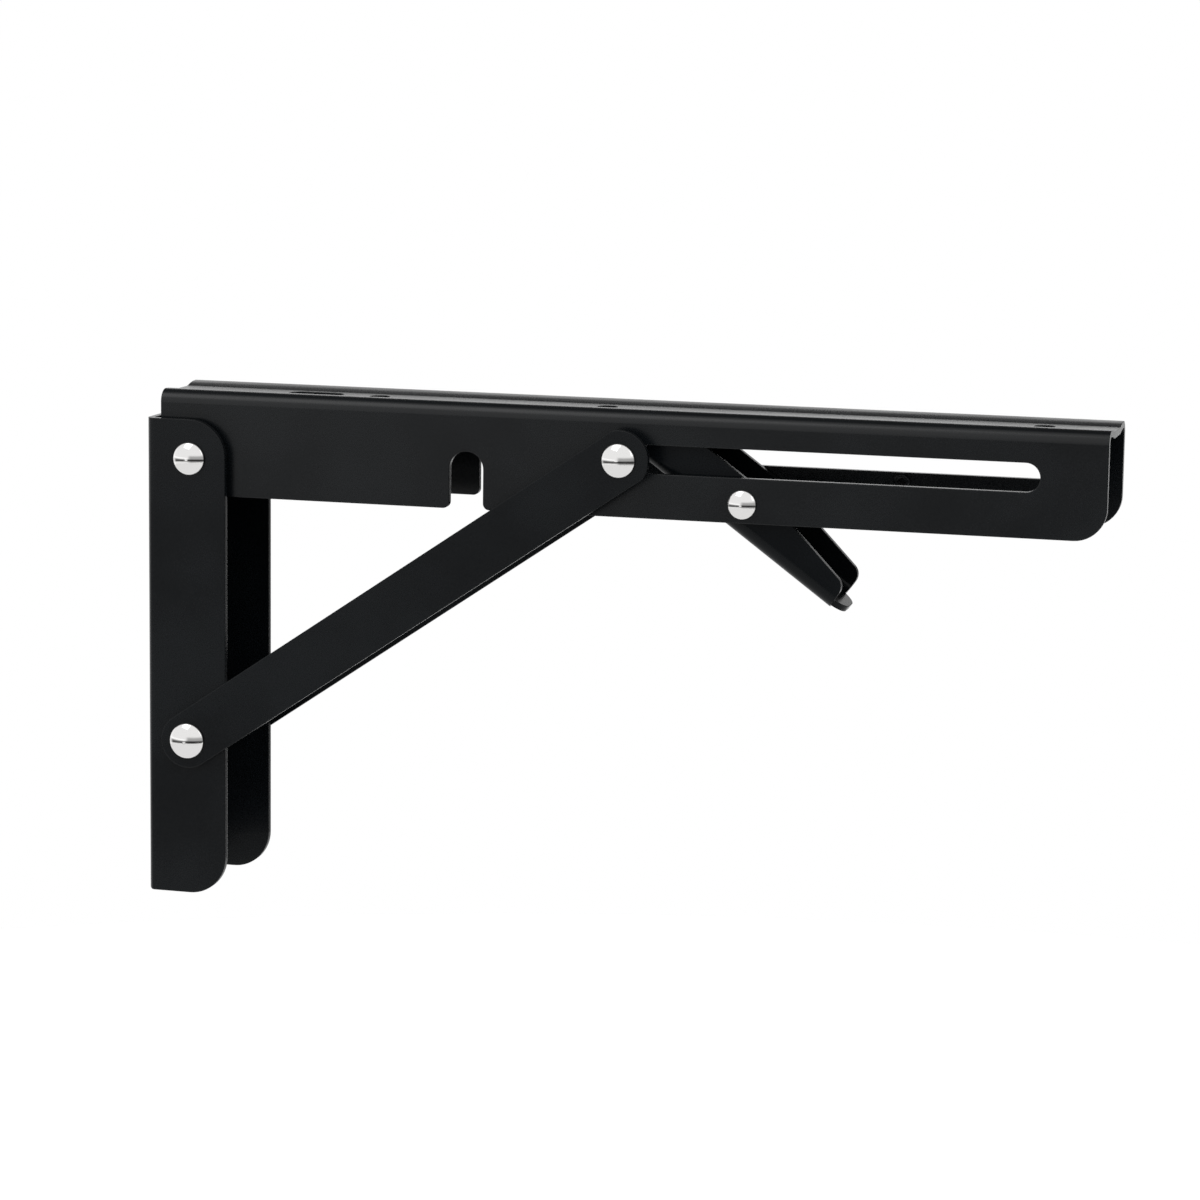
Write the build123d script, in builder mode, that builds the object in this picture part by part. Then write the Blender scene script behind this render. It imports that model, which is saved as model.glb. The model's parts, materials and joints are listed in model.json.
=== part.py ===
from build123d import *
from math import acos, atan2, cos, degrees, hypot, radians, sin, sqrt
import os

# Folding shelf bracket: a wall arm and a shelf arm hinged together, held square by two
# struts that slide in the shelf arm's slots, with a sprung lever that locks them.
#
# Millimetres. The wall is the plane X = 0 and +X points out of it along the shelf arm,
# +Y runs across the bracket to its rear side, +Z is up. The origin is the middle one of
# the three wall screw holes. The drawn pose is the open, locked bracket.

# ---------------------------------------------------------------- driving dimensions
SHEET = 2.0                      # steel sheet of both arms, the struts and the lever
BEND_OUTSIDE_R = 2.6             # outside radius of the arms' right-angle folds

SHELF_ARM_LENGTH = 300.0
SHELF_ARM_WIDTH = 34.0
SHELF_ARM_CREST = 21.1           # top of the two shoulders, above the main hinge
SHELF_ARM_TAIL = 11.0            # how far the arm reaches behind the main hinge
SHELF_ARM_NOSE_R = 9.8           # round lower corner at the free end
SHOULDER_R = 4.0                 # outside radius of a shoulder
DISH_DEPTH = 1.2                 # floor of the valley, below the shoulders
HUMP_R = 22.0                    # gentle inner side of a shoulder
VALLEY_R = 2.5                   # small round where it meets the valley's flat floor

SIDE_GAP = 2.0                   # between a flange of the shelf arm and of the wall arm
WALL_ARM_HEIGHT = 152.4
WALL_ARM_DEPTH = 26.4
WALL_ARM_ABOVE_HINGE = 12.4
WALL_ARM_TOP_R = 12.0            # round front corners of the flanges
WALL_ARM_FOOT_R = 12.0
WALL_ARM_HEEL_R = 1.6            # small round where a flange meets the wall at its foot

HINGE_FROM_WALL = 14.5           # main hinge and strut hinge, from the wall
STRUT_HINGE_DROP = 90.0          # strut hinge, below the main hinge
SLIDE_PIN_REACH = 140.5          # slide pin, out from the main hinge when locked
SLOT_ABOVE_HINGE = 6.3           # centre line of the slots, above the main hinge
SLOT_HEIGHT = 8.9
SLOT_SPARE = 4.13                # slot left past the slide pin when the bracket is folded

STRUT_WIDTH = 17.5
STRUT_TIP_R = 9.3                # arc of the upper end, a little wider than the strut
STRUT_GAP = 0.5                  # between a strut and the wall arm's flange

NOTCH_WIDTH = 11.0               # takes the strut hinge when the bracket is folded
NOTCH_ABOVE_HINGE = 0.5          # centre of the notch's round end
NOTCH_LIP_R = 2.0

LEVER_REACH = 177.9              # lever pivot, out from the main hinge
LEVER_DROP = 6.2                 # lever pivot, below the main hinge
LEVER_SLOPE = 35.9               # degrees down and outwards, at rest
LEVER_WIDTH = 27.0
LEVER_FLANGE_TOP = 6.2           # upper edge of the flanges, above the lever's pivot
LEVER_WEB_DROP = 9.6             # underside of the web, below the lever's pivot
LEVER_BEND_OUTSIDE_R = 4.5       # the lever's folds are softer than the arms'
LEVER_TAPER_START = 2.0          # where the flanges start to taper, past the pivot
LEVER_OUTER_END = 39.6           # outer end of the flanges, past the pivot
LEVER_OUTER_TOP = -0.7           # upper edge of the flanges at that end
LEVER_CORNER_R = 4.0
TONGUE_WIDTH = 16.0              # finger tongue, past the web's end
TONGUE_END = 43.7                # its tip, past the pivot
TONGUE_CORNER_R = 6.0

HINGE_SHANK_R = 3.5
HINGE_HEAD_R = 5.2
STRUT_SHANK_R = 3.5
STRUT_HEAD_R = 5.7
SLIDE_SHANK_R = 4.0
SLIDE_HEAD_R = 5.3
SLIDE_PIN_R = 4.2
LEVER_SHANK_R = 3.0
LEVER_HEAD_R = 4.5
HEAD_CROWN_SLOPE = 38.0          # degrees, of a rivet head's crown where its edge begins
HEAD_EDGE_R = 0.8                # small round between the crown and the rim
HEAD_RIM = 0.4                   # straight edge at the rim of a head

SCREW_HOLE_R = 3.25
WALL_SCREW_PITCH = 40.0          # three wall screws, one above the other
TOP_WALL_SCREW_BELOW = 35.0      # the top one, below the main hinge
INNER_SHELF_SCREW = 56.1         # shelf screws, out from the main hinge
MIDDLE_SHELF_SCREW = 130.5
OUTER_SHELF_SCREW_FROM_END = 22.0
ACCESS_LENGTH = 18.0             # long hole for the driver of the top wall screw
ACCESS_WIDTH = 8.0

EYELET_REACH = 220.9             # small eyelet in the rear flange, out from the hinge
EYELET_BELOW = 0.9               # its centre, below the main hinge
EYELET_BORE_R = 1.3
EYELET_SHANK_R = 1.9
EYELET_RIM_R = 2.6
EYELET_PROUD = 1.0               # thickness of its rim on the inner face
EYELET_FLOOR = 0.8               # left at the blind end of its bore

SPRING_WIRE_R = 0.6
SPRING_MEAN_R = 4.2
SPRING_PITCH = 1.45
SPRING_WHOLE_TURNS = 5
SPRING_LEVER_LEG = 16.0          # foot of one leg on the lever's web, past the pivot
SPRING_ARM_LEG = 27.0            # foot of the other under the shelf arm's top, before it

# ------------------------------------------------------------------ named clearances
PRESS = 0.05                     # radial, of a rivet in the sheet it is clinched in
RUNNING = 0.1                    # radial, of a pin in the hole that turns on it
SIDE_PLAY = 0.1                  # between a washer or bush and the sheet that moves on it
FOLD_CLEAR = 0.5                 # between the shelf arm's heel and the wall arm's web
LOCK_CLEAR = 0.3                 # between the lever's locking end and the slide pin
LEVER_TOP_CLEAR = 0.3            # between the lever's inner end and the shelf arm's top
HINGE_SPACER_WALL = 1.9          # wall of the main hinge's spacer tube
STRUT_SPACER_WALL = 0.9          # wall of the strut hinge's spacer tube
HINGE_WASHER_R = 7.0
STRUT_WASHER_R = 6.5
LEVER_WASHER_R = 5.2
BUSH_R = 6.0

# -------------------------------------------------------------------- derived places
HINGE_X = HINGE_FROM_WALL
HINGE_Z = TOP_WALL_SCREW_BELOW + WALL_SCREW_PITCH
STRUT_HINGE_Z = HINGE_Z - STRUT_HINGE_DROP
SLIDE_X = HINGE_X + SLIDE_PIN_REACH
SLOT_Z = HINGE_Z + SLOT_ABOVE_HINGE
LEVER_X = HINGE_X + LEVER_REACH
LEVER_Z = HINGE_Z - LEVER_DROP
WALL_ARM_FOOT_Z = HINGE_Z + WALL_ARM_ABOVE_HINGE - WALL_ARM_HEIGHT
HEEL_R = HINGE_FROM_WALL - SHEET - FOLD_CLEAR    # also the depth of the flanges' skirt
TIP_REACH = SHELF_ARM_LENGTH - SHELF_ARM_TAIL
SHELF_SCREWS = (INNER_SHELF_SCREW, MIDDLE_SHELF_SCREW, TIP_REACH - OUTER_SHELF_SCREW_FROM_END)

# Half widths of each layer, from the middle plane outwards.
SHELF_OUTER_Y = SHELF_ARM_WIDTH / 2
SHELF_INNER_Y = SHELF_OUTER_Y - SHEET
WALL_INNER_Y = SHELF_OUTER_Y + SIDE_GAP
WALL_OUTER_Y = WALL_INNER_Y + SHEET
STRUT_INNER_Y = WALL_OUTER_Y + STRUT_GAP
STRUT_OUTER_Y = STRUT_INNER_Y + SHEET
LEVER_OUTER_Y = LEVER_WIDTH / 2

STRUT_RISE = SLOT_ABOVE_HINGE + STRUT_HINGE_DROP
STRUT_LENGTH = hypot(SLIDE_PIN_REACH, STRUT_RISE)
STRUT_SLOPE = degrees(atan2(STRUT_RISE, SLIDE_PIN_REACH))
FOLDED_PIN_REACH = STRUT_HINGE_DROP + sqrt(STRUT_LENGTH**2 - SLOT_ABOVE_HINGE**2)
SLOT_OUTER_END = FOLDED_PIN_REACH + SLOT_HEIGHT / 2 + SLOT_SPARE
PIN_TO_LEVER = hypot(SLIDE_PIN_REACH - LEVER_REACH, SLOT_ABOVE_HINGE + LEVER_DROP)
LOCK_R = PIN_TO_LEVER - SLIDE_PIN_R - LOCK_CLEAR

# Upright planes across which the holes are cut, local x along +X and local y up.
HINGE_VIEW = Plane(origin=(HINGE_X, 0, HINGE_Z), x_dir=(1, 0, 0), z_dir=(0, -1, 0))
SLOT_VIEW = Plane(origin=(HINGE_X, 0, SLOT_Z), x_dir=(1, 0, 0), z_dir=(0, -1, 0))
LEVER_ALONG = (cos(radians(LEVER_SLOPE)), 0, -sin(radians(LEVER_SLOPE)))
LEVER_VIEW = Plane(origin=(LEVER_X, 0, LEVER_Z), x_dir=LEVER_ALONG, z_dir=(0, -1, 0))
THROUGH = 2 * STRUT_OUTER_Y      # deeper than the bracket is wide


def channel_outline(width, depth, bend_r):
    """Outline of a folded channel with its web on local y = 0, open towards +y."""
    with BuildLine() as outline:
        outside = Polyline((-width / 2, depth), (-width / 2, 0), (width / 2, 0), (width / 2, depth))
        fillet(outside.vertices().group_by(Axis.Y)[0], bend_r)
        offset(amount=SHEET, side=Side.LEFT)
    return outline.wires()[0]


def rivet_outline(shank_r, head_r, near, far, both_heads):
    """Half outline of a domed rivet along local y, its head seated on y = far."""
    slope = radians(HEAD_CROWN_SLOPE)
    crown_r = (head_r - HEAD_EDGE_R) / sin(slope) + HEAD_EDGE_R
    crown_centre = HEAD_RIM - (crown_r - HEAD_EDGE_R) * cos(slope)
    crown_top = crown_centre + crown_r
    with BuildLine() as outline:
        for seat, way in ((far, 1), (near, -1)) if both_heads else ((far, 1),):
            centre = (0, seat + way * crown_centre)
            CenterArc(centre, crown_r, way * 90, -way * HEAD_CROWN_SLOPE)
            edge_centre = (head_r - HEAD_EDGE_R, seat + way * HEAD_RIM)
            CenterArc(edge_centre, HEAD_EDGE_R, way * (90 - HEAD_CROWN_SLOPE), -way * (90 - HEAD_CROWN_SLOPE))
            Polyline((head_r, seat + way * HEAD_RIM), (head_r, seat), (shank_r, seat))
        Line((shank_r, far), (shank_r, near))
        if both_heads:
            Line((0, near - crown_top), (0, far + crown_top))
        else:
            Polyline((shank_r, near), (0, near), (0, far + crown_top))
    return outline.wires()[0]


os.makedirs("parts", exist_ok=True)

# -------------------------------------------------------------------------- wall arm
# A folded channel with its web on the wall, open away from it.
with BuildPart() as wall_arm:
    with BuildSketch(Plane(origin=(0, 0, WALL_ARM_FOOT_Z), x_dir=(0, -1, 0), z_dir=(0, 0, 1))):
        add(channel_outline(2 * WALL_OUTER_Y, WALL_ARM_DEPTH, BEND_OUTSIDE_R))
        make_face()
    extrude(amount=WALL_ARM_HEIGHT)

    # Seen from the side, the flanges' front corners are round.
    with BuildSketch(Plane(origin=(0, 0, WALL_ARM_FOOT_Z), x_dir=(1, 0, 0), z_dir=(0, -1, 0))) as flanges:
        Rectangle(WALL_ARM_DEPTH, WALL_ARM_HEIGHT, align=(Align.MIN, Align.MIN))
        fillet(flanges.vertices().group_by(Axis.X)[0].sort_by(Axis.Y)[0], WALL_ARM_HEEL_R)
        fillet(flanges.vertices().group_by(Axis.X)[-1].sort_by(Axis.Y)[-1], WALL_ARM_TOP_R)
        fillet(flanges.vertices().group_by(Axis.X)[-1].sort_by(Axis.Y)[0], WALL_ARM_FOOT_R)
    extrude(amount=THROUGH, both=True, mode=Mode.INTERSECT)

    with BuildSketch(HINGE_VIEW):
        Circle(HINGE_SHANK_R + PRESS)
        with Locations((0, -STRUT_HINGE_DROP)):
            Circle(STRUT_SHANK_R + RUNNING)
    extrude(amount=THROUGH, both=True, mode=Mode.SUBTRACT)

    with BuildSketch(Plane(origin=(0, 0, 0), x_dir=(0, 0, 1), z_dir=(1, 0, 0))):
        with GridLocations(WALL_SCREW_PITCH, 0, 3, 1):
            Circle(SCREW_HOLE_R)
    extrude(amount=SHEET, mode=Mode.SUBTRACT)
wall_arm.part.label = "wall_arm"
export_step(wall_arm.part, "parts/wall_arm.step")

# ------------------------------------------------------------------------- shelf arm
# A channel turned open side down. Its top is rolled into two round shoulders with a
# dished valley between them, so that the shelf screws' heads stay clear of the shelf.
dish_turn = degrees(acos(1 - DISH_DEPTH / (HUMP_R + VALLEY_R)))
crest_y = SHELF_OUTER_Y - SHOULDER_R
shoulder_top = SHELF_ARM_CREST - SHOULDER_R
floor_height = SHELF_ARM_CREST - DISH_DEPTH

with BuildPart() as shelf_arm:
    arm_end = Plane(origin=(HINGE_X - SHELF_ARM_TAIL, 0, HINGE_Z), x_dir=(0, 1, 0), z_dir=(1, 0, 0))
    with BuildSketch(arm_end):
        with BuildLine():
            Line((SHELF_OUTER_Y, -HEEL_R), (SHELF_OUTER_Y, shoulder_top))
            CenterArc((crest_y, shoulder_top), SHOULDER_R, 0, 90)
            hump = CenterArc((crest_y, SHELF_ARM_CREST - HUMP_R), HUMP_R, 90, dish_turn)
            valley = JernArc(hump @ 1, hump % 1, VALLEY_R, -dish_turn)
            Line(valley @ 1, (0, floor_height))
            offset(amount=SHEET, side=Side.LEFT)
        make_face()
        mirror(about=Plane.YZ)
    extrude(amount=SHELF_ARM_LENGTH)

    # The heel is round about the main hinge, and the free end's lower corner is round.
    with BuildSketch(HINGE_VIEW) as flanges:
        heel_height = -sqrt(HEEL_R**2 - SHELF_ARM_TAIL**2)
        with BuildLine():
            RadiusArc((-SHELF_ARM_TAIL, heel_height), (0, -HEEL_R), -HEEL_R)
            Polyline(
                (0, -HEEL_R),
                (TIP_REACH, -HEEL_R),
                (TIP_REACH, SHELF_ARM_CREST),
                (-SHELF_ARM_TAIL, SHELF_ARM_CREST),
                (-SHELF_ARM_TAIL, heel_height),
            )
        make_face()
        fillet(flanges.vertices().group_by(Axis.X)[-1].sort_by(Axis.Y)[0], SHELF_ARM_NOSE_R)
    extrude(amount=THROUGH, both=True, mode=Mode.INTERSECT)

    # Slots for the slide pins, from their locked place outwards.
    with BuildSketch(SLOT_VIEW):
        slot_inner_end = SLIDE_PIN_REACH - SLOT_HEIGHT / 2
        with Locations(((slot_inner_end + SLOT_OUTER_END) / 2, 0)):
            SlotOverall(SLOT_OUTER_END - slot_inner_end, SLOT_HEIGHT)
    extrude(amount=THROUGH, both=True, mode=Mode.SUBTRACT)

    # Notches that drop over the strut hinge's spacer when the bracket is folded.
    with BuildSketch(HINGE_VIEW):
        notch_depth = HEEL_R + NOTCH_ABOVE_HINGE
        with Locations((STRUT_HINGE_DROP, NOTCH_ABOVE_HINGE)):
            Circle(NOTCH_WIDTH / 2)
            Rectangle(NOTCH_WIDTH, notch_depth, align=(Align.CENTER, Align.MAX))
        lip_side = NOTCH_WIDTH / 2 + NOTCH_LIP_R
        with Locations((STRUT_HINGE_DROP, -HEEL_R)):
            Rectangle(2 * lip_side, NOTCH_LIP_R, align=(Align.CENTER, Align.MIN))
        with Locations(
            (STRUT_HINGE_DROP - lip_side, NOTCH_LIP_R - HEEL_R),
            (STRUT_HINGE_DROP + lip_side, NOTCH_LIP_R - HEEL_R),
        ):
            Circle(NOTCH_LIP_R, mode=Mode.SUBTRACT)
    extrude(amount=THROUGH, both=True, mode=Mode.SUBTRACT)

    with BuildSketch(HINGE_VIEW):
        Circle(HINGE_SHANK_R + RUNNING)
        with Locations((LEVER_REACH, -LEVER_DROP)):
            Circle(LEVER_SHANK_R + PRESS)
    extrude(amount=THROUGH, both=True, mode=Mode.SUBTRACT)

    # Holes down through the valley's floor: three screws and the driver's access hole.
    with BuildSketch(Plane(origin=(HINGE_X, 0, HINGE_Z + floor_height))):
        with Locations(*[(reach, 0) for reach in SHELF_SCREWS]):
            Circle(SCREW_HOLE_R)
        with Locations((TOP_WALL_SCREW_BELOW, 0)):
            SlotOverall(ACCESS_LENGTH, ACCESS_WIDTH)
    extrude(amount=SHEET, both=True, mode=Mode.SUBTRACT)

    # Only the rear flange has the small hole for the eyelet.
    with BuildSketch(HINGE_VIEW):
        with Locations((EYELET_REACH, -EYELET_BELOW)):
            Circle(EYELET_SHANK_R + PRESS)
    extrude(amount=-THROUGH, mode=Mode.SUBTRACT)
shelf_arm.part.label = "shelf_arm"
export_step(shelf_arm.part, "parts/shelf_arm.step")

# ---------------------------------------------------------------------------- struts
# Two flat bars, one outside each flange of the wall arm. The lower end is a full round
# about the strut hinge and the upper end is an arc about the slide pin.
for label, face_y in (("front_strut", -STRUT_INNER_Y), ("rear_strut", STRUT_OUTER_Y)):
    strut_along = (cos(radians(STRUT_SLOPE)), 0, sin(radians(STRUT_SLOPE)))
    with BuildPart() as strut:
        with BuildSketch(Plane(origin=(HINGE_X, face_y, STRUT_HINGE_Z), x_dir=strut_along, z_dir=(0, -1, 0))):
            Rectangle(STRUT_LENGTH + STRUT_TIP_R, STRUT_WIDTH, align=(Align.MIN, Align.CENTER))
            with Locations((STRUT_LENGTH, 0)):
                with BuildLine():
                    tip = RadiusArc(
                        (STRUT_LENGTH + sqrt(STRUT_TIP_R**2 - STRUT_WIDTH**2 / 4), STRUT_WIDTH / 2),
                        (STRUT_LENGTH + sqrt(STRUT_TIP_R**2 - STRUT_WIDTH**2 / 4), -STRUT_WIDTH / 2),
                        STRUT_TIP_R,
                    )
                    Polyline(tip @ 1, (0, -STRUT_WIDTH / 2), (0, STRUT_WIDTH / 2), tip @ 0)
                make_face(mode=Mode.INTERSECT)
            Circle(STRUT_WIDTH / 2)
            Circle(STRUT_SHANK_R + PRESS, mode=Mode.SUBTRACT)
            with Locations((STRUT_LENGTH, 0)):
                Circle(SLIDE_SHANK_R + PRESS, mode=Mode.SUBTRACT)
        extrude(amount=SHEET)
    strut.part.label = label
    export_step(strut.part, f"parts/{label}.step")

# --------------------------------------------------------------------- release lever
# A folded channel, open upwards. Its inner end is an arc about the lever's own pivot,
# so a locked slide pin pushes straight at the pivot and cannot turn the lever.
with BuildPart() as release_lever:
    lever_start = LEVER_VIEW.from_local_coords((-LOCK_R, -LEVER_WEB_DROP, 0))
    with BuildSketch(Plane(origin=lever_start, x_dir=(0, 1, 0), z_dir=LEVER_ALONG)):
        add(channel_outline(LEVER_WIDTH, LEVER_WEB_DROP + LEVER_FLANGE_TOP, LEVER_BEND_OUTSIDE_R))
        make_face()
    extrude(amount=LOCK_R + LEVER_OUTER_END)

    # Side view: locking arc, level top, taper, and a round outer corner.
    with BuildSketch(LEVER_VIEW) as flanges:
        with BuildLine():
            top_inner = (-sqrt(LOCK_R**2 - LEVER_FLANGE_TOP**2), LEVER_FLANGE_TOP)
            web_inner = (-sqrt(LOCK_R**2 - LEVER_WEB_DROP**2), -LEVER_WEB_DROP)
            Polyline(
                top_inner,
                (LEVER_TAPER_START, LEVER_FLANGE_TOP),
                (LEVER_OUTER_END, LEVER_OUTER_TOP),
                (LEVER_OUTER_END, -LEVER_WEB_DROP),
                web_inner,
            )
            ThreePointArc(web_inner, (-LOCK_R, 0), top_inner)
        make_face()
        fillet(flanges.vertices().group_by(Axis.X)[-1].sort_by(Axis.Y)[-1], LEVER_CORNER_R)
        fillet(flanges.vertices().sort_by_distance(top_inner)[0], LEVER_CORNER_R)
    extrude(amount=THROUGH, both=True, mode=Mode.INTERSECT)

    # The inner end stays below the underside of the shelf arm's top.
    with BuildSketch(HINGE_VIEW):
        with Locations((LEVER_REACH, floor_height - SHEET - LEVER_TOP_CLEAR)):
            Rectangle(4 * LOCK_R, 4 * LOCK_R, align=(Align.CENTER, Align.MAX))
    extrude(amount=THROUGH, both=True, mode=Mode.INTERSECT)

    # The finger tongue: the web runs on past the flanges to a round-cornered tip.
    tongue_tip = LEVER_VIEW.from_local_coords((TONGUE_END, SHEET - LEVER_WEB_DROP, 0))
    with BuildSketch(Plane(origin=tongue_tip, x_dir=LEVER_ALONG, z_dir=LEVER_VIEW.y_dir)) as tongue:
        Rectangle(TONGUE_CORNER_R + SHEET, TONGUE_WIDTH, align=(Align.MAX, Align.CENTER))
        fillet(tongue.vertices().group_by(Axis.X)[-1], TONGUE_CORNER_R)
    extrude(amount=-SHEET)

    with BuildSketch(LEVER_VIEW):
        Circle(LEVER_SHANK_R + RUNNING)
    extrude(amount=THROUGH, both=True, mode=Mode.SUBTRACT)
release_lever.part.label = "release_lever"
export_step(release_lever.part, "parts/release_lever.step")

# ---------------------------------------------------------------------------- rivets
# Three through rivets with a domed head at each end.
for label, x, z, shank_r, head_r, grip in (
    ("hinge_rivet", HINGE_X, HINGE_Z, HINGE_SHANK_R, HINGE_HEAD_R, WALL_OUTER_Y),
    ("strut_rivet", HINGE_X, STRUT_HINGE_Z, STRUT_SHANK_R, STRUT_HEAD_R, STRUT_OUTER_Y),
    ("lever_rivet", LEVER_X, LEVER_Z, LEVER_SHANK_R, LEVER_HEAD_R, SHELF_OUTER_Y),
):
    with BuildPart() as rivet:
        with BuildSketch(Plane(origin=(x, 0, z))):
            add(rivet_outline(shank_r, head_r, -grip, grip, both_heads=True))
            make_face()
        revolve(axis=Axis((x, 0, z), (0, 1, 0)))
    rivet.part.label = label
    export_step(rivet.part, f"parts/{label}.step")

# The struts' upper rivets end flush with the struts' inner faces, behind the pins.
for label, side in (("front_slide_rivet", -1), ("rear_slide_rivet", 1)):
    with BuildPart() as rivet:
        with BuildSketch(Plane(origin=(SLIDE_X, 0, SLOT_Z), x_dir=(side, 0, 0), z_dir=(0, 0, 1))):
            add(rivet_outline(SLIDE_SHANK_R, SLIDE_HEAD_R, STRUT_INNER_Y, STRUT_OUTER_Y, both_heads=False))
            make_face()
        revolve(axis=Axis((SLIDE_X, 0, SLOT_Z), (0, side, 0)))
    rivet.part.label = label
    export_step(rivet.part, f"parts/{label}.step")

# ------------------------------------------------- pins, bushes, washers and spacers
# Each is a plain ring or rod across the bracket: x, z, bore, outside radius, from y, to y.
slide_pin_inner = LEVER_OUTER_Y + LOCK_CLEAR
slide_pin_outer = STRUT_INNER_Y - LOCK_CLEAR
bush_inner = SHELF_OUTER_Y + SIDE_PLAY
bush_outer = STRUT_INNER_Y - 2 * SIDE_PLAY
rings = (
    ("hinge_washer", HINGE_X, HINGE_Z, HINGE_SHANK_R + PRESS, HINGE_WASHER_R,
     SHELF_OUTER_Y + SIDE_PLAY, WALL_INNER_Y),
    ("strut_washer", HINGE_X, STRUT_HINGE_Z, STRUT_SHANK_R + RUNNING, STRUT_WASHER_R,
     WALL_OUTER_Y, STRUT_INNER_Y - SIDE_PLAY),
    ("lever_washer", LEVER_X, LEVER_Z, LEVER_SHANK_R + PRESS, LEVER_WASHER_R,
     LEVER_OUTER_Y + SIDE_PLAY, SHELF_INNER_Y),
    ("slide_pin", SLIDE_X, SLOT_Z, 0, SLIDE_PIN_R, slide_pin_inner, slide_pin_outer),
    ("slide_bush", SLIDE_X, SLOT_Z, SLIDE_PIN_R + PRESS, BUSH_R, bush_inner, bush_outer),
)
for name, x, z, bore_r, outside_r, inner_y, outer_y in rings:
    for prefix, side in (("front", -1), ("rear", 1)):
        with BuildPart() as ring:
            with BuildSketch(Plane(origin=(x, side * inner_y, z), x_dir=(1, 0, 0), z_dir=(0, side, 0))):
                Circle(outside_r)
                if bore_r > 0:
                    Circle(bore_r, mode=Mode.SUBTRACT)
            extrude(amount=outer_y - inner_y)
        ring.part.label = f"{prefix}_{name}"
        export_step(ring.part, f"parts/{prefix}_{name}.step")

for label, z, bore_r, wall, half_length in (
    ("hinge_spacer", HINGE_Z, HINGE_SHANK_R + RUNNING, HINGE_SPACER_WALL, SHELF_INNER_Y),
    ("strut_spacer", STRUT_HINGE_Z, STRUT_SHANK_R + RUNNING, STRUT_SPACER_WALL, WALL_INNER_Y),
):
    with BuildPart() as spacer:
        with BuildSketch(Plane(origin=(HINGE_X, 0, z), x_dir=(1, 0, 0), z_dir=(0, -1, 0))):
            Circle(bore_r + wall)
            Circle(bore_r, mode=Mode.SUBTRACT)
        extrude(amount=half_length, both=True)
    spacer.part.label = label
    export_step(spacer.part, f"parts/{label}.step")

# ---------------------------------------------------------------------------- eyelet
# A small peg with a rim and a blind bore on the rear flange's inner face, flush outside.
with BuildPart() as rear_flange_eyelet:
    eyelet_centre = (HINGE_X + EYELET_REACH, SHELF_OUTER_Y, HINGE_Z - EYELET_BELOW)
    with BuildSketch(Plane(origin=eyelet_centre, x_dir=(1, 0, 0), z_dir=(0, -1, 0))):
        Circle(EYELET_SHANK_R)
    extrude(amount=SHEET)
    with BuildSketch(Plane(origin=eyelet_centre, x_dir=(1, 0, 0), z_dir=(0, -1, 0)).offset(SHEET)):
        Circle(EYELET_RIM_R)
    extrude(amount=EYELET_PROUD)
    fillet(rear_flange_eyelet.edges().sort_by(Axis.Y)[0], EYELET_PROUD * 0.6)
    with BuildSketch(Plane(origin=eyelet_centre, x_dir=(1, 0, 0), z_dir=(0, -1, 0)).offset(EYELET_FLOOR)):
        Circle(EYELET_BORE_R)
    extrude(amount=SHEET + EYELET_PROUD - EYELET_FLOOR, mode=Mode.SUBTRACT)
rear_flange_eyelet.part.label = "rear_flange_eyelet"
export_step(rear_flange_eyelet.part, "parts/rear_flange_eyelet.step")

# ---------------------------------------------------------------------- lever spring
# A torsion spring round the lever's rivet. One leg bears on the lever's web and the
# other under the shelf arm's top, so it turns the lever's outer end down.
lever_foot = (SPRING_LEVER_LEG, SHEET - LEVER_WEB_DROP + SPRING_WIRE_R)
lever_foot_far = hypot(lever_foot[0], lever_foot[1])
lever_foot_turn = degrees(atan2(lever_foot[1], lever_foot[0])) - LEVER_SLOPE
coil_start = lever_foot_turn - degrees(acos(SPRING_MEAN_R / lever_foot_far))

arm_foot_rise = LEVER_DROP + floor_height - SHEET - SPRING_WIRE_R
arm_foot_far = hypot(SPRING_ARM_LEG, arm_foot_rise)
arm_foot_turn = degrees(atan2(arm_foot_rise, -SPRING_ARM_LEG))
coil_end = arm_foot_turn + degrees(acos(SPRING_MEAN_R / arm_foot_far))

coil_turns = SPRING_WHOLE_TURNS + (coil_start - (coil_end - 360)) / 360
coil_width = coil_turns * SPRING_PITCH
lever_leg = sqrt(lever_foot_far**2 - SPRING_MEAN_R**2)
arm_leg = sqrt(arm_foot_far**2 - SPRING_MEAN_R**2)

radial = (cos(radians(coil_start)), 0, sin(radians(coil_start)))
coil_plane = Plane(origin=(LEVER_X, -coil_width / 2, LEVER_Z), x_dir=radial, z_dir=(0, 1, 0))
coil = coil_plane * Helix(SPRING_PITCH, coil_width, SPRING_MEAN_R)
leg_on_lever = Line(coil @ 0 - (coil % 0) * lever_leg, coil @ 0)
leg_on_arm = Line(coil @ 1, coil @ 1 + (coil % 1) * arm_leg)
spring_wire = Wire([leg_on_lever.edge(), coil.edge(), leg_on_arm.edge()])

with BuildPart() as lever_spring:
    with BuildSketch(Plane(origin=spring_wire @ 0, z_dir=spring_wire % 0)):
        Circle(SPRING_WIRE_R)
    sweep(path=spring_wire)
lever_spring.part.label = "lever_spring"
export_step(lever_spring.part, "parts/lever_spring.step")
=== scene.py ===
"""Dresses and lights a folding shelf bracket: black powder coated steel with bright rivets."""
from __future__ import annotations

import json
import logging
from dataclasses import dataclass, field
from enum import Enum
from math import acos, atan2, cos, hypot, pi, radians, sin, sqrt
from typing import Any, Iterable, Sequence

import bmesh
import bpy
from mathutils import Matrix, Vector

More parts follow.
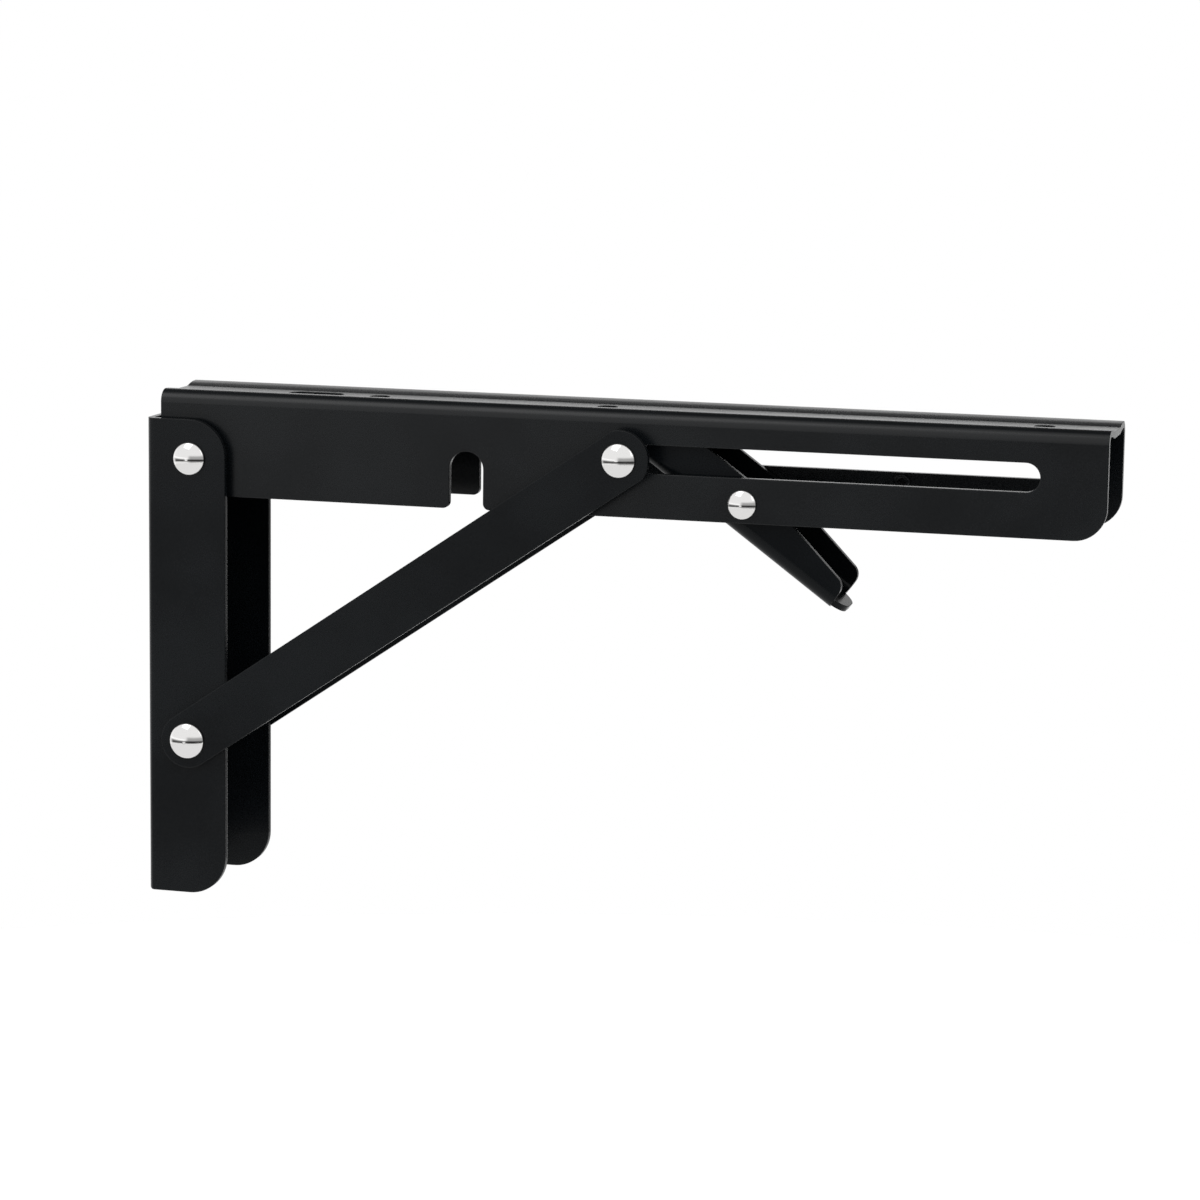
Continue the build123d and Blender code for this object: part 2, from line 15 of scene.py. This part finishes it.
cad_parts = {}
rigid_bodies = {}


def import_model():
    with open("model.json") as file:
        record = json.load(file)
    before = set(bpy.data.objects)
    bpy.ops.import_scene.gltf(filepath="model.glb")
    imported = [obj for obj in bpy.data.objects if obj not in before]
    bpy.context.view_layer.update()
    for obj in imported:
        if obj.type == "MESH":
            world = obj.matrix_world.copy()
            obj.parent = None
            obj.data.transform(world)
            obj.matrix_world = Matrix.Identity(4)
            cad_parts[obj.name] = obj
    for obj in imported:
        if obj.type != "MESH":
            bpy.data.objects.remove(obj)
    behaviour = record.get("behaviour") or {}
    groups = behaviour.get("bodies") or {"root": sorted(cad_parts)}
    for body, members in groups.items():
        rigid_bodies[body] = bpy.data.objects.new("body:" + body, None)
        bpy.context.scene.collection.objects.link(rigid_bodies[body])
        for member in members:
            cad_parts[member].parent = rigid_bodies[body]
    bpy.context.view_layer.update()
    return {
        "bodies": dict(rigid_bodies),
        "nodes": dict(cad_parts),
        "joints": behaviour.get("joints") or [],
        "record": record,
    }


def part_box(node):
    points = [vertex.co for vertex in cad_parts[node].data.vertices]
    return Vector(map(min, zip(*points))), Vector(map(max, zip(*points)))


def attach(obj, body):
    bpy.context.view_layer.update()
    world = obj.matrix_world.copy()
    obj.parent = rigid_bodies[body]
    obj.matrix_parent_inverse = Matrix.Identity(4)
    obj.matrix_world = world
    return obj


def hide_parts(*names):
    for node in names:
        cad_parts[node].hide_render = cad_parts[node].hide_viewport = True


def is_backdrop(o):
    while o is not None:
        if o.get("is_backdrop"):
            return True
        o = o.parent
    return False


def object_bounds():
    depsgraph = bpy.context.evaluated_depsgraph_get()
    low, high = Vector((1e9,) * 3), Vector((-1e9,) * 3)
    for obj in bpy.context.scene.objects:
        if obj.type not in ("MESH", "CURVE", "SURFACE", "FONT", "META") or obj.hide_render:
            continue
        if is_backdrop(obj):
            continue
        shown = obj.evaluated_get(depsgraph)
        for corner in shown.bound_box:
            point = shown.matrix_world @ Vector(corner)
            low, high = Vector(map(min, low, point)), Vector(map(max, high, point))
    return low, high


logging.basicConfig(level=logging.INFO, format="%(levelname)s %(message)s")
LOG = logging.getLogger("folding_bracket")

MM = 0.001
NOISE_RANGE = (0.3, 0.7)  # where most of a noise's values lie


class Slot(Enum):
    """The finishes that the pieces are made in."""

    POWDER_COAT = "black_powder_coat"
    # Painted shade: the wall arm, struts and lever get copies of the same coat with lower sheen, so they
    # render darker.
    SHADED_WALL_COAT = "black_powder_coat_wall_arm_painted_shade"
    SHADED_LEVER_COAT = "black_powder_coat_lever_painted_shade"
    BRIGHT = "rivet_chrome"
    PLATED = "plated_steel"
    NYLON = "black_nylon"


# ------------------------------------------------------------------------- shader maths
class Wire:
    """A shader socket or number that can be added, subtracted and multiplied in Python."""

    def __init__(self, graph: "Graph", source: Any) -> None:
        """Keeps the graph and the socket.

        Args:
            graph: The node tree helper that makes the nodes.
            source: A node socket, or a plain number.
        """
        self.graph = graph
        self.source = source

    def _math(self, operation: str, *others: Any) -> "Wire":
        """Adds a Math node.

        Args:
            operation: Blender's name of the operation.
            others: The second and third inputs, wires or numbers.

        Returns:
            The node's output.
        """
        inputs = {i: value for i, value in enumerate((self, *others))}
        return self.graph.add("ShaderNodeMath", {"operation": operation}, inputs)

    def __add__(self, other: Any) -> "Wire":
        """Sum."""
        return self._math("ADD", other)

    def __sub__(self, other: Any) -> "Wire":
        """Difference."""
        return self._math("SUBTRACT", other)

    def __rsub__(self, other: Any) -> "Wire":
        """Difference, with the number first."""
        return Wire(self.graph, other)._math("SUBTRACT", self)

    def __mul__(self, other: Any) -> "Wire":
        """Product."""
        return self._math("MULTIPLY", other)

    def ramp(self, low: float, high: float, start: float = 0.0, end: float = 1.0) -> "Wire":
        """Maps a range of this value smoothly onto another and clamps it.

        Args:
            low: The value that gives start.
            high: The value that gives end.
            start: The result at low.
            end: The result at high.

        Returns:
            The mapped value.
        """
        settings = {"interpolation_type": "SMOOTHSTEP", "clamp": True}
        values = {"Value": self, "From Min": low, "From Max": high, "To Min": start, "To Max": end}
        return self.graph.add("ShaderNodeMapRange", settings, values)


class Graph:
    """Makes the nodes of one material or world."""

    def __init__(self, tree: bpy.types.NodeTree) -> None:
        """Empties a node tree and takes it over.

        Args:
            tree: The tree to fill.
        """
        self.tree = tree
        tree.nodes.clear()

    def add(
        self,
        kind: str,
        settings: dict[str, Any] | None = None,
        inputs: dict[Any, Any] | None = None,
        output: Any = 0,
    ) -> Wire:
        """Adds any node.

        Args:
            kind: Blender's type name of the node.
            settings: Properties that are set before the sockets.
            inputs: Values or wires by socket name or number.
            output: Name or number of the output that is returned.

        Returns:
            The chosen output, or the node itself as the wire's source where it has no outputs.
        """
        node = self.tree.nodes.new(kind)
        for name, value in (settings or {}).items():
            setattr(node, name, value)
        for name, value in (inputs or {}).items():
            source = value.source if isinstance(value, Wire) else value
            if isinstance(source, bpy.types.NodeSocket):
                self.tree.links.new(source, node.inputs[name])
            else:
                node.inputs[name].default_value = source
        return Wire(self, node.outputs[output] if len(node.outputs) else node)

    def here(self) -> Wire:
        """The point's own coordinates, in metres."""
        return self.add("ShaderNodeTexCoord", output="Object")

    def noise(self, size_mm: float, detail: float = 2.0) -> Wire:
        """Smooth noise.

        Args:
            size_mm: Size of the largest patches.
            detail: Number of finer layers.

        Returns:
            A value round 0.5.
        """
        values = {
            "Vector": self.here(),
            "Scale": 1 / (size_mm * MM),
            "Detail": detail,
        }
        return self.add("ShaderNodeTexNoise", {"noise_dimensions": "3D"}, values, "Fac")

    def bump(self, height: Wire, depth_mm: float, strength: float, normal: Wire) -> Wire:
        """A bump from a height.

        Args:
            height: The height, 0 to 1.
            depth_mm: What a height of 1 stands for.
            strength: How much of it shows.
            normal: The normal it is added to.

        Returns:
            The new normal.
        """
        values = {"Strength": strength, "Distance": depth_mm * MM, "Height": height, "Normal": normal}
        return self.add("ShaderNodeBump", {}, values, "Normal")

    def soft_edges(self, radius_mm: float) -> Wire:
        """A normal that rounds every sharp edge, as a coat of paint does."""
        return self.add("ShaderNodeBevel", {"samples": 6}, {"Radius": radius_mm * MM}, "Normal")

    def mix(self, factor: Any, first: Any, second: Any) -> Wire:
        """A colour between two others.

        Args:
            factor: 0 gives the first and 1 the second.
            first: The first colour.
            second: The second colour.

        Returns:
            The mixed colour.
        """
        settings = {"data_type": "RGBA"}
        return self.add("ShaderNodeMix", settings, {0: factor, 6: first, 7: second}, 2)


def grey(level: float, tint: float = 0.0) -> tuple[float, float, float, float]:
    """A grey with a slight blue tint.

    Args:
        level: Its brightness, linear.
        tint: How much more blue than red it has, as a share.

    Returns:
        The colour.
    """
    return (level * (1 - tint), level, level * (1 + tint), 1.0)


# ----------------------------------------------------------------------------- finishes
@dataclass(frozen=True)
class PowderCoat:
    """Satin black powder coat on steel sheet, made in copies whose lower sheen paints shade onto some
    pieces.
    """

    slot: Slot = Slot.POWDER_COAT
    level: float = 0.005
    tint: float = 0.25
    roughness: float = 0.26
    roughness_drift: float = 0.03
    roughness_grain: float = 0.12
    edge_mm: float = 0.42
    # A lower sheen in a copy is painted shade, not a different coat.
    sheen: float = 0.38
    drift_mm: float = 38.0
    peel_mm: float = 1.1
    speck_mm: float = 0.45
    peel_share: float = 0.7
    bump_mm: float = 0.06
    bump_strength: float = 0.22

    def make(self) -> bpy.types.Material:
        """Builds the material."""
        material = new_material(self.slot.value)
        graph = Graph(material.node_tree)
        drift = graph.noise(self.drift_mm, 3.0)
        peel = graph.noise(self.peel_mm)
        specks = graph.noise(self.speck_mm, 1.0)
        dark = grey(self.level * 0.8, self.tint)
        pale = grey(self.level * 1.25, self.tint)
        dull = self.roughness + self.roughness_drift
        colour = graph.mix(drift.ramp(*NOISE_RANGE), dark, pale)
        rough = drift.ramp(*NOISE_RANGE, self.roughness - self.roughness_drift, dull)
        rough = rough + (specks - 0.5) * self.roughness_grain
        height = peel * self.peel_share + specks * (1 - self.peel_share)
        normal = graph.bump(height, self.bump_mm, self.bump_strength, graph.soft_edges(self.edge_mm))
        values = {
            "Base Color": colour,
            "Roughness": rough,
            "Specular IOR Level": self.sheen,
            "Normal": normal,
        }
        finish_material(graph, values)
        return material


@dataclass(frozen=True)
class BrightMetal:
    """Polished, chrome plated rivet heads, with painted shade that darkens them where they meet the sheet.
    """

    level: float = 0.86
    warmth: float = 0.01
    roughness: float = 0.05
    haze: float = 0.06
    haze_mm: float = 1.6
    grain_mm: float = 0.5
    grain_depth_mm: float = 0.02
    grain_strength: float = 0.12
    edge_mm: float = 0.2
    # Painted shade: how far the occlusion darkening reaches from the sheet, and how dark it gets.
    contact_shade_mm: float = 1.5
    contact_shade_level: float = 0.02

    def make(self) -> bpy.types.Material:
        """Builds the material."""
        material = new_material(Slot.BRIGHT.value)
        graph = Graph(material.node_tree)
        haze = graph.noise(self.haze_mm, 3.0)
        grain = graph.noise(self.grain_mm)
        reach = {"Distance": self.contact_shade_mm * MM}
        # Painted shade: ambient occlusion darkens the base colour near the sheet.
        clear = graph.add("ShaderNodeAmbientOcclusion", {"samples": 8}, reach, "AO").ramp(0.5, 0.92)
        edges = graph.soft_edges(self.edge_mm)
        values = {
            "Base Color": graph.mix(clear, grey(self.contact_shade_level), grey(self.level, -self.warmth)),
            "Metallic": 1.0,
            "Roughness": haze.ramp(0.35, 0.7, self.roughness, self.roughness + self.haze),
            "Normal": graph.bump(grain, self.grain_depth_mm, self.grain_strength, edges),
        }
        finish_material(graph, values)
        return material


@dataclass(frozen=True)
class PlatedSteel:
    """Zinc plated steel of pins, tubes, washers and the spring."""

    level: float = 0.5
    roughness: float = 0.34
    cloud_mm: float = 3.0
    grain_mm: float = 0.4
    grain_depth_mm: float = 0.02
    grain_strength: float = 0.2
    edge_mm: float = 0.15

    def make(self) -> bpy.types.Material:
        """Builds the material."""
        material = new_material(Slot.PLATED.value)
        graph = Graph(material.node_tree)
        cloud = graph.noise(self.cloud_mm, 3.0)
        grain = graph.noise(self.grain_mm)
        colour = graph.mix(cloud.ramp(*NOISE_RANGE), grey(self.level * 0.85), grey(self.level * 1.1, 0.02))
        edges = graph.soft_edges(self.edge_mm)
        values = {
            "Base Color": colour,
            "Metallic": 1.0,
            "Roughness": cloud.ramp(*NOISE_RANGE, self.roughness - 0.05, self.roughness + 0.06),
            "Normal": graph.bump(grain, self.grain_depth_mm, self.grain_strength, edges),
        }
        finish_material(graph, values)
        return material


@dataclass(frozen=True)
class Nylon:
    """Black nylon of the sliding bushes and hinge washers."""

    level: float = 0.014
    roughness: float = 0.5
    mould_mm: float = 0.6
    mould_depth_mm: float = 0.03
    mould_strength: float = 0.2
    edge_mm: float = 0.2

    def make(self) -> bpy.types.Material:
        """Builds the material."""
        material = new_material(Slot.NYLON.value)
        graph = Graph(material.node_tree)
        mould = graph.noise(self.mould_mm)
        colour = graph.mix(mould.ramp(*NOISE_RANGE), grey(self.level * 0.85), grey(self.level * 1.2))
        edges = graph.soft_edges(self.edge_mm)
        values = {
            "Base Color": colour,
            "Roughness": mould.ramp(*NOISE_RANGE, self.roughness - 0.05, self.roughness + 0.05),
            "Normal": graph.bump(mould, self.mould_depth_mm, self.mould_strength, edges),
        }
        finish_material(graph, values)
        return material


def new_material(name: str) -> bpy.types.Material:
    """An empty material that uses nodes."""
    material = bpy.data.materials.new(name)
    material.use_nodes = True
    return material


def finish_material(graph: Graph, values: dict[str, Any]) -> None:
    """Adds the surface shader and the output.

    Args:
        graph: The material's graph.
        values: The shader's values by socket name.
    """
    shader = graph.add("ShaderNodeBsdfPrincipled", {}, values, "BSDF")
    graph.add("ShaderNodeOutputMaterial", {}, {"Surface": shader})


# --------------------------------------------------------------------------- assemblies
@dataclass
class Assembly:
    """Pieces that move together, each with its finish."""

    body: str = ""
    finishes: dict[str, Slot] = field(default_factory=dict)

    def dress(self, nodes: dict[str, bpy.types.Object], palette: dict[Slot, bpy.types.Material]) -> None:
        """Gives each piece its finish.

        Args:
            nodes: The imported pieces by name.
            palette: The materials.
        """
        for name, slot in self.finishes.items():
            piece = nodes[name]
            piece.data.materials.clear()
            piece.data.materials.append(palette[slot])
            LOG.info("%s: %s in %s", self.body, name, slot.value)


@dataclass
class WallArm(Assembly):
    """The channel on the wall, with both hinges' fixed pieces."""

    body: str = "wall_arm"
    finishes: dict[str, Slot] = field(
        default_factory=lambda: {
            # Painted shade: the wall arm's coat is a darker copy with lower sheen.
            "wall_arm": Slot.SHADED_WALL_COAT,
            "hinge_rivet": Slot.BRIGHT,
            "front_hinge_washer": Slot.NYLON,
            "rear_hinge_washer": Slot.NYLON,
            "strut_spacer": Slot.PLATED,
            "front_strut_washer": Slot.PLATED,
            "rear_strut_washer": Slot.PLATED,
        }
    )


@dataclass
class ShelfArm(Assembly):
    """The channel under the shelf."""

    body: str = "shelf_arm"
    finishes: dict[str, Slot] = field(
        default_factory=lambda: {
            "shelf_arm": Slot.POWDER_COAT,
            "hinge_spacer": Slot.PLATED,
            "lever_rivet": Slot.BRIGHT,
            "front_lever_washer": Slot.PLATED,
            "rear_lever_washer": Slot.PLATED,
            "rear_flange_eyelet": Slot.POWDER_COAT,
        }
    )


@dataclass
class Struts(Assembly):
    """The two flat bars and their rivets."""

    body: str = "struts"
    finishes: dict[str, Slot] = field(
        default_factory=lambda: {
            # Painted shade: the struts' coat is a darker copy with lower sheen.
            "front_strut": Slot.SHADED_WALL_COAT,
            "rear_strut": Slot.SHADED_WALL_COAT,
            "strut_rivet": Slot.BRIGHT,
            "front_slide_rivet": Slot.BRIGHT,
            "rear_slide_rivet": Slot.BRIGHT,
        }
    )


@dataclass
class Slider(Assembly):
    """What slides in the slots."""

    body: str = "slider"
    finishes: dict[str, Slot] = field(
        default_factory=lambda: {
            "front_slide_pin": Slot.PLATED,
            "rear_slide_pin": Slot.PLATED,
            "front_slide_bush": Slot.NYLON,
            "rear_slide_bush": Slot.NYLON,
        }
    )


@dataclass
class ReleaseLever(Assembly):
    """The lever that locks the slide pins."""

    body: str = "release_lever"
    # Painted shade: the lever's coat is a darker copy with lower sheen.
    finishes: dict[str, Slot] = field(default_factory=lambda: {"release_lever": Slot.SHADED_LEVER_COAT})


@dataclass
class LeverSpring:
    """The torsion spring on the lever's rivet, in two pieces that move apart."""

    wire_mm: float = 0.6
    coil_mm: float = 4.2
    pitch_mm: float = 1.45
    whole_turns: int = 5
    steps_a_turn: int = 26
    wire_sides: int = 10
    lever_slope: float = 35.9
    lever_foot_mm: tuple[float, float] = (16.0, -7.0)
    arm_foot_mm: tuple[float, float] = (-27.0, 23.0)

    def build(self, palette: dict[Slot, bpy.types.Material]) -> None:
        """Makes the coil with its upper leg, and the leg that lies on the lever.

        Args:
            palette: The materials.
        """
        low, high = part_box("lever_rivet")
        centre = (low + high) / 2
        foot_far = hypot(*self.lever_foot_mm)
        foot_turn = atan2(self.lever_foot_mm[1], self.lever_foot_mm[0]) - radians(self.lever_slope)
        start = foot_turn - acos(self.coil_mm / foot_far)
        arm_far = hypot(*self.arm_foot_mm)
        arm_turn = atan2(self.arm_foot_mm[1], self.arm_foot_mm[0])
        end = arm_turn + acos(self.coil_mm / arm_far) - 2 * pi
        turns = self.whole_turns + (start - end) / (2 * pi)
        width = turns * self.pitch_mm
        lever_leg = sqrt(foot_far**2 - self.coil_mm**2)
        arm_leg = sqrt(arm_far**2 - self.coil_mm**2)

        coil = bmesh.new()
        ring = self._ring(coil, centre, start, -width / 2)
        steps = self.steps_a_turn * self.whole_turns
        result = bmesh.ops.spin(
            coil,
            geom=ring,
            cent=centre,
            axis=(0.0, 1.0, 0.0),
            dvec=(0.0, width * MM / steps, 0.0),
            angle=2 * pi * turns,
            steps=steps,
            use_duplicate=False,
        )
        last = [item for item in result["geom_last"] if isinstance(item, bmesh.types.BMEdge)]
        self._leg(coil, last, end, -arm_leg, self.pitch_mm / (2 * pi * self.coil_mm))
        piece = self._finish(coil, "spring_coil", palette)
        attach(piece, "shelf_arm")
        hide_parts("lever_spring")

        leg = bmesh.new()
        ring = self._ring(leg, centre, start, -width / 2)
        self._leg(leg, ring, start, lever_leg, 0.0)
        piece = self._finish(leg, "spring_lever_leg", palette)
        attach(piece, "release_lever")

    def _ring(self, mesh: bmesh.types.BMesh, centre: Vector, turn: float, along_mm: float) -> list[Any]:
        """A ring of wire across the coil.

        Args:
            mesh: The mesh to add to.
            centre: The coil's centre.
            turn: Where on the coil it stands, in radians from straight out.
            along_mm: Where it stands along the coil's axis.

        Returns:
            The ring's edges.
        """
        outwards = Vector((cos(turn), 0.0, sin(turn)))
        place = centre + outwards * self.coil_mm * MM + Vector((0.0, along_mm * MM, 0.0))
        forwards = Vector((sin(turn), 0.0, -cos(turn)))
        frame = Matrix((outwards, Vector((0.0, 1.0, 0.0)), forwards)).transposed().to_4x4()
        matrix = Matrix.Translation(place) @ frame
        radius = self.wire_mm * MM
        made = bmesh.ops.create_circle(mesh, segments=self.wire_sides, radius=radius, matrix=matrix)
        return sorted({edge for vert in made["verts"] for edge in vert.link_edges}, key=lambda e: e.index)

    def _leg(
        self, mesh: bmesh.types.BMesh, ring: list[Any], turn: float, length_mm: float, lean: float
    ) -> None:
        """Draws a straight leg out of a ring and closes its end.

        Args:
            mesh: The mesh.
            ring: The ring's edges.
            turn: Where on the coil the ring stands.
            length_mm: The leg's length, negative to go the coil's way round.
            lean: Slope along the coil's axis.
        """
        made = bmesh.ops.extrude_edge_only(mesh, edges=ring)["geom"]
        verts = [item for item in made if isinstance(item, bmesh.types.BMVert)]
        edges = [item for item in made if isinstance(item, bmesh.types.BMEdge)]
        along = Vector((-sin(turn), 0.0, cos(turn))) * length_mm * MM
        along.y = lean * abs(length_mm) * MM
        bmesh.ops.translate(mesh, verts=verts, vec=along)
        rim = [edge for edge in edges if all(vert in verts for vert in edge.verts)]
        bmesh.ops.contextual_create(mesh, geom=rim)

    def _finish(
        self, mesh: bmesh.types.BMesh, name: str, palette: dict[Slot, bpy.types.Material]
    ) -> bpy.types.Object:
        """Turns a mesh into a finished piece.

        Args:
            mesh: The mesh, which is freed.
            name: The piece's name.
            palette: The materials.

        Returns:
            The new object.
        """
        bmesh.ops.remove_doubles(mesh, verts=mesh.verts, dist=0.001 * MM)
        bmesh.ops.holes_fill(mesh, edges=[edge for edge in mesh.edges if edge.is_boundary], sides=0)
        bmesh.ops.recalc_face_normals(mesh, faces=mesh.faces)
        for face in mesh.faces:
            face.smooth = len(face.verts) == 4
        data = bpy.data.meshes.new(name)
        mesh.to_mesh(data)
        mesh.free()
        data.materials.append(palette[Slot.PLATED])
        piece = bpy.data.objects.new(name, data)
        bpy.context.scene.collection.objects.link(piece)
        LOG.info("spring: %s with %d faces", name, len(data.polygons))
        return piece


# ------------------------------------------------------------------------------- studio
@dataclass
class Studio:
    """Floor, sky, lamps and camera, in metres unless a name says otherwise.

    The sky's edges are given as the x, y or z of a direction of length 1, low end first.
    """

    target_mm: tuple[float, float, float] = (143.4, 0.0, 34.02)
    azimuth: float = 15.26
    elevation: float = 9.36
    roll: float = 0.8
    distance: float = 1.22516
    lens: float = 117.467
    film: float = 36.0
    floor_drop: float = 0.30
    floor_radius: float = 1.2
    floor_sides: int = 96
    floor_paint: float = 0.8
    floor_glow: float = 0.85
    floor_gloss: float = 0.35
    floor_level: float = 0.9
    band_level: float = 0.06
    window_level: float = 0.85
    left_level: float = 0.3
    back_level: float = 1.1
    top_level: float = 0.1
    right_level: float = 0.15
    right_dim: float = 0.55
    ahead_edge: tuple[float, float] = (-0.15, 0.25)
    floor_edge: tuple[float, float] = (-0.3, -0.23)
    window_edge: tuple[float, float] = (-0.15, -0.03)
    left_edge: tuple[float, float] = (0.08, 0.42)
    left_foot: tuple[float, float] = (-0.22, -0.05)
    left_top: tuple[float, float] = (-0.05, 0.05)
    back_top: tuple[float, float] = (0.34, 0.5)
    back_right: tuple[float, float] = (0.1, 0.28)
    dim_edge: tuple[float, float] = (-0.3, 0.02)
    dim_top: tuple[float, float] = (0.05, 0.25)
    key_place: tuple[float, float, float] = (-0.5, -0.9, 1.5)
    key_size: float = 0.9
    key_power: float = 3.0
    fill_place: tuple[float, float, float] = (1.4, -0.6, 0.9)
    fill_size: float = 0.8
    fill_power: float = 1.0

    def build(self) -> None:
        """Sets up the whole studio."""
        scene = bpy.context.scene
        scene.view_settings.view_transform = "Standard"
        self._camera(scene)
        self._floor()
        self._sky(scene)
        self._lamp("key_light", self.key_place, self.key_size, self.key_power)
        self._lamp("fill_light", self.fill_place, self.fill_size, self.fill_power)

    def _camera(self, scene: bpy.types.Scene) -> None:
        """Places the camera.

        Args:
            scene: The scene that uses it.
        """
        az, el, roll = radians(self.azimuth), radians(self.elevation), radians(self.roll)
        back = Vector((sin(az) * cos(el), -cos(az) * cos(el), sin(el)))
        level = Vector((cos(az), sin(az), 0.0))
        upright = back.cross(level)
        right = cos(roll) * level + sin(roll) * upright
        up = -sin(roll) * level + cos(roll) * upright
        data = bpy.data.cameras.new("camera")
        data.lens = self.lens
        data.sensor_width = self.film
        data.clip_start = 0.01
        camera = bpy.data.objects.new("camera", data)
        scene.collection.objects.link(camera)
        place = Vector(self.target_mm) * MM + back * self.distance
        camera.matrix_world = Matrix.Translation(place) @ Matrix((right, up, back)).transposed().to_4x4()
        scene.camera = camera

    def _floor(self) -> None:
        """Lays a round, pale floor well below the bracket."""
        low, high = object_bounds()
        mesh = bmesh.new()
        centre = Matrix.Translation(((low[0] + high[0]) / 2, 0.0, low[2] - self.floor_drop))
        bmesh.ops.create_circle(
            mesh, cap_ends=True, segments=self.floor_sides, radius=self.floor_radius, matrix=centre
        )
        data = bpy.data.meshes.new("floor")
        mesh.to_mesh(data)
        mesh.free()
        floor = bpy.data.objects.new("floor", data)
        bpy.context.scene.collection.objects.link(floor)
        material = new_material("floor")
        graph = Graph(material.node_tree)
        seen = graph.add("ShaderNodeLightPath", output="Is Camera Ray")
        mirrored = graph.add("ShaderNodeLightPath", output="Is Glossy Ray")
        matt = graph.add("ShaderNodeBsdfDiffuse", {}, {"Color": grey(self.floor_paint)}, "BSDF")
        strength = seen * self.floor_glow + mirrored * self.floor_gloss
        glow = graph.add("ShaderNodeEmission", {}, {"Color": grey(1.0), "Strength": strength}, "Emission")
        both = graph.add("ShaderNodeAddShader", {}, {0: matt, 1: glow})
        graph.add("ShaderNodeOutputMaterial", {}, {"Surface": both})
        data.materials.append(material)
        floor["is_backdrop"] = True

    def _sky(self, scene: bpy.types.Scene) -> None:
        """Makes a white sky for the camera, and for reflections a bright one with a dark horizon.

        Args:
            scene: The scene that uses it.
        """
        world = bpy.data.worlds.new("sky")
        world.use_nodes = True
        scene.world = world
        graph = Graph(world.node_tree)
        seen = graph.add("ShaderNodeLightPath", output="Is Camera Ray")
        way = graph.add("ShaderNodeTexCoord", output="Generated")
        x, y, z = (graph.add("ShaderNodeSeparateXYZ", {}, {0: way}, i) for i in range(3))
        ahead = (0 - y).ramp(*self.ahead_edge)
        lower = z.ramp(*self.floor_edge, self.floor_level, self.band_level)
        window = z.ramp(*self.window_edge) * self.window_level
        left = (0 - x).ramp(*self.left_edge) * z.ramp(*self.left_foot) * self.left_level
        front = lower + window + left * z.ramp(*self.left_top, 1.0, 0.0)
        dim = x.ramp(*self.dim_edge, 0.0, self.right_dim) * z.ramp(*self.dim_top, 1.0, 0.0)
        front = front * (1 - dim)
        back = z.ramp(*self.back_top, self.back_level, self.top_level)
        back = back * x.ramp(*self.back_right, 1.0, self.right_level)
        level = seen + (1 - seen) * (ahead * front + (1 - ahead) * back)
        glow = graph.add("ShaderNodeBackground", {}, {"Color": grey(1.0), "Strength": level}, "Background")
        graph.add("ShaderNodeOutputWorld", {}, {"Surface": glow})

    def _lamp(self, name: str, place: Sequence[float], size: float, power: float) -> None:
        """Hangs a soft lamp that faces the bracket.

        Args:
            name: Its name.
            place: Where it hangs, in metres.
            size: Its side.
            power: Its power in watts.
        """
        data = bpy.data.lights.new(name, "AREA")
        data.size = size
        data.energy = power
        lamp = bpy.data.objects.new(name, data)
        bpy.context.scene.collection.objects.link(lamp)
        aim = Vector(self.target_mm) * MM - Vector(place)
        turn = aim.to_track_quat("-Z", "Y").to_matrix().to_4x4()
        lamp.matrix_world = Matrix.Translation(Vector(place)) @ turn


def main(frame: dict[str, Any]) -> None:
    """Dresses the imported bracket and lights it.
    """
    palette = {
        Slot.POWDER_COAT: PowderCoat().make(),
        # Painted shade: copies of the one coat with lower sheen darken the wall arm, struts and lever.
        Slot.SHADED_WALL_COAT: PowderCoat(Slot.SHADED_WALL_COAT, sheen=0.27).make(),
        Slot.SHADED_LEVER_COAT: PowderCoat(Slot.SHADED_LEVER_COAT, sheen=0.15).make(),
        Slot.BRIGHT: BrightMetal().make(),
        Slot.PLATED: PlatedSteel().make(),
        Slot.NYLON: Nylon().make(),
    }
    for assembly in (WallArm(), ShelfArm(), Struts(), Slider(), ReleaseLever()):
        assembly.dress(frame["nodes"], palette)
    LeverSpring().build(palette)
    Studio().build()


if __name__ == "__main__":
    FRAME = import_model()
    main(FRAME)
